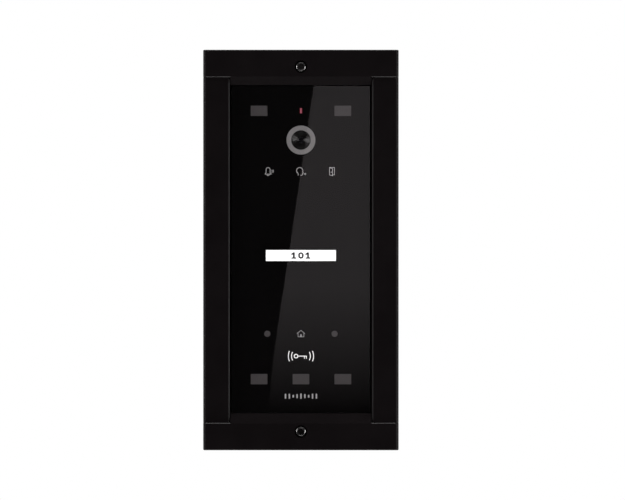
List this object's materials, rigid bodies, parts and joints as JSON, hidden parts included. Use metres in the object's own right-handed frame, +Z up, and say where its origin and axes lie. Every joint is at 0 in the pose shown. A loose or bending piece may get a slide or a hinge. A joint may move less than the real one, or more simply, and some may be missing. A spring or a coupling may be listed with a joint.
{
  "type": "door intercom panel",
  "caption": "Tall flat door entry panel with camera, lights, backlit symbols and one long call key behind a black glass front in a black metal frame.",
  "frame": {"origin": "centre of the back face, where the panel meets the wall", "axes": "+X to the right seen from the front, +Z up, +Y into the wall; the front faces -Y"},
  "size_m": [0.1076, 0.034, 0.22],
  "materials": {
    "frame_coat": "matte",
    "front_glass": "polished",
    "black_print": "gloss",
    "white_print": "gloss",
    "grey_print": "gloss",
    "black_foam": "matte",
    "black_plastic": "matte",
    "grey_plastic": "matte",
    "smoked_window": "gloss",
    "red_window": "gloss",
    "diffuser": "satin",
    "clear_cap": "polished",
    "card_paper": "matte",
    "card_ink": "matte",
    "grey_anodised": "satin",
    "lens_glass": "polished",
    "stainless": "satin",
    "zinc_steel": "satin",
    "brass": "satin",
    "rubber_seal": "matte",
    "grey_silicone": "satin",
    "circuit_board": "satin",
    "chip_black": "matte",
    "led_body": "gloss",
    "copper": "satin",
    "relay_case": "satin",
    "capacitor_can": "satin",
    "cone_paper": "matte",
    "magnet_steel": "satin",
    "terminal_green": "satin",
    "trimmer_blue": "satin",
    "rotor_white": "satin"
  },
  "bodies": {
    "back_box": {"back_box": "black_plastic", "wall_gasket": "black_foam", "cable_grommet": "rubber_seal", "threaded_inserts": "brass"},
    "call_key": {"call_key_cap": "clear_cap", "name_card": "card_paper", "card_digits": "card_ink", "key_carrier": "diffuser"},
    "upper_seal": {"upper_seal_washer": "rubber_seal"},
    "upper_screw": {"upper_front_screw": "stainless"},
    "lower_seal": {"lower_seal_washer": "rubber_seal"},
    "lower_screw": {"lower_front_screw": "stainless"},
    "speaker_trimmer": {"speaker_trimmer": "rotor_white"},
    "microphone_trimmer": {"microphone_trimmer": "rotor_white"},
    "program_button": {"program_button": "rotor_white"},
    "front_unit": {"top_end_cap": "frame_coat", "bottom_end_cap": "frame_coat", "left_side_profile": "frame_coat", "right_side_profile": "frame_coat", "end_cap_screws": "zinc_steel", "front_glass": "front_glass", "glass_print": "black_print", "glass_tape": "black_foam", "status_icons": "grey_print", "reader_symbol": "white_print", "lower_symbols": "grey_print", "front_housing": "black_plastic", "rear_cover": "grey_plastic", "housing_screws": "zinc_steel", "illuminator_windows": "smoked_window", "sensor_windows": "smoked_window", "status_light_pipe": "red_window", "light_guides": "diffuser", "camera_bezel": "grey_anodised", "lens_barrel": "black_plastic", "front_lens": "lens_glass", "lens_holder": "black_plastic", "camera_board": "circuit_board", "image_sensor": "chip_black", "upper_light_board": "circuit_board", "lower_reader_board": "circuit_board", "reader_coil": "copper", "front_leds": "led_body", "optical_sensors": "chip_black", "board_headers": "chip_black", "main_board": "circuit_board", "processor_chips": "chip_black", "lock_relay": "relay_case", "filter_capacitors": "capacitor_can", "loudspeaker_frame": "zinc_steel", "loudspeaker_cone": "cone_paper", "loudspeaker_magnet": "magnet_steel", "microphone_boot": "rubber_seal", "microphone": "capacitor_can", "terminal_block": "terminal_green", "terminal_screws": "zinc_steel", "trimmer_bodies": "trimmer_blue", "program_switch": "chip_black", "key_pad": "grey_silicone"}
  },
  "joints": [
    {"name": "front_unit_release", "type": "slide", "parent": "back_box", "child": "front_unit", "axis": [0, -1, 0], "range_m": [0, 0.06]},
    {"name": "call_key_press", "type": "slide", "parent": "front_unit", "child": "call_key", "axis": [0, 1, 0], "range_m": [0, 0.0008], "stiffness_N_per_m": 2500, "springref_m": -0.0002, "deforming": ["key_pad"]},
    {"name": "upper_screw_withdraw", "type": "slide", "parent": "front_unit", "child": "upper_seal", "axis": [0, -1, 0], "range_m": [0, 0.012]},
    {"name": "upper_screw_turn", "type": "hinge", "parent": "upper_seal", "child": "upper_screw", "pos_m": [0, -0.0315, 0.1007], "axis": [0, -1, 0], "range_deg": [0, 7201]},
    {"name": "lower_screw_withdraw", "type": "slide", "parent": "front_unit", "child": "lower_seal", "axis": [0, -1, 0], "range_m": [0, 0.012]},
    {"name": "lower_screw_turn", "type": "hinge", "parent": "lower_seal", "child": "lower_screw", "pos_m": [0, -0.0315, -0.0997], "axis": [0, -1, 0], "range_deg": [0, 7201]},
    {"name": "speaker_trimmer_turn", "type": "hinge", "parent": "front_unit", "child": "speaker_trimmer", "pos_m": [-0.014, -0.0125, -0.06], "axis": [0, 1, 0], "range_deg": [-135, 135]},
    {"name": "microphone_trimmer_turn", "type": "hinge", "parent": "front_unit", "child": "microphone_trimmer", "pos_m": [0.014, -0.0125, -0.06], "axis": [0, 1, 0], "range_deg": [-135, 135]},
    {"name": "program_button_press", "type": "slide", "parent": "front_unit", "child": "program_button", "axis": [0, -1, 0], "range_m": [0, 0.00025], "stiffness_N_per_m": 6000, "springref_m": -0.0001}
  ],
  "couplings": [
    {"joint": "upper_screw_turn", "follows": "upper_screw_withdraw", "rad_per_m": 10472},
    {"joint": "lower_screw_turn", "follows": "lower_screw_withdraw", "rad_per_m": 10472}
  ]
}
